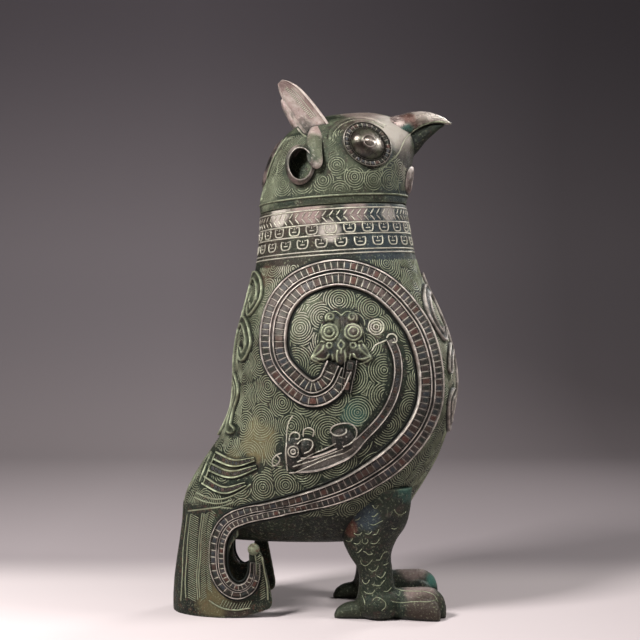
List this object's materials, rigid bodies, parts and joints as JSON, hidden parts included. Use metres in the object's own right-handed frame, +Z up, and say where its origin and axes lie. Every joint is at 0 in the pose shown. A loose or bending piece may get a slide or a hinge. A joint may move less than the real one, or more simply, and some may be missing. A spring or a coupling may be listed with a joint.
{
  "type": "bird-shaped bronze wine vessel",
  "caption": "Bronze ritual wine vessel in the shape of a standing horned bird, with a hollow belly, a tail that helps it stand, and a lift-off head as its lid.",
  "frame": {"origin": "on the floor, under the middle of the vessel's length and on its middle plane", "axes": "+X is the way the bird faces, +Z is up, and the bird's right side is -Y"},
  "size_m": [0.2422, 0.1892, 0.4417],
  "materials": {
    "green_patina": "bronze with a mid green patina, satin",
    "dark_patina": "bronze with a dark green patina, semi-gloss",
    "brown_patina": "bronze worn to red-brown and dull pinkish metal, semi-gloss"
  },
  "bodies": {
    "vessel": {"belly_shell": "green_patina", "tail_support": "green_patina", "right_leg": "dark_patina", "left_leg": "dark_patina", "right_wing_band": "brown_patina", "left_wing_band": "brown_patina", "right_wing_mask": "dark_patina", "left_wing_mask": "dark_patina", "right_serpent_band": "brown_patina", "left_serpent_band": "brown_patina", "right_rump_plumes": "green_patina", "left_rump_plumes": "green_patina", "breast_mask": "dark_patina", "back_relief": "green_patina"},
    "lid": {"head_shell": "green_patina", "upper_beak": "brown_patina", "lower_beak": "dark_patina", "right_ear": "brown_patina", "left_ear": "brown_patina", "right_eye": "dark_patina", "left_eye": "dark_patina", "nape_scroll": "brown_patina", "throat_plaque": "brown_patina"}
  },
  "joints": [
    {"name": "lid_lift", "type": "slide", "parent": "vessel", "child": "lid", "axis": [-0.0619, 0, 0.9981], "range_m": [0, 0.1]}
  ]
}
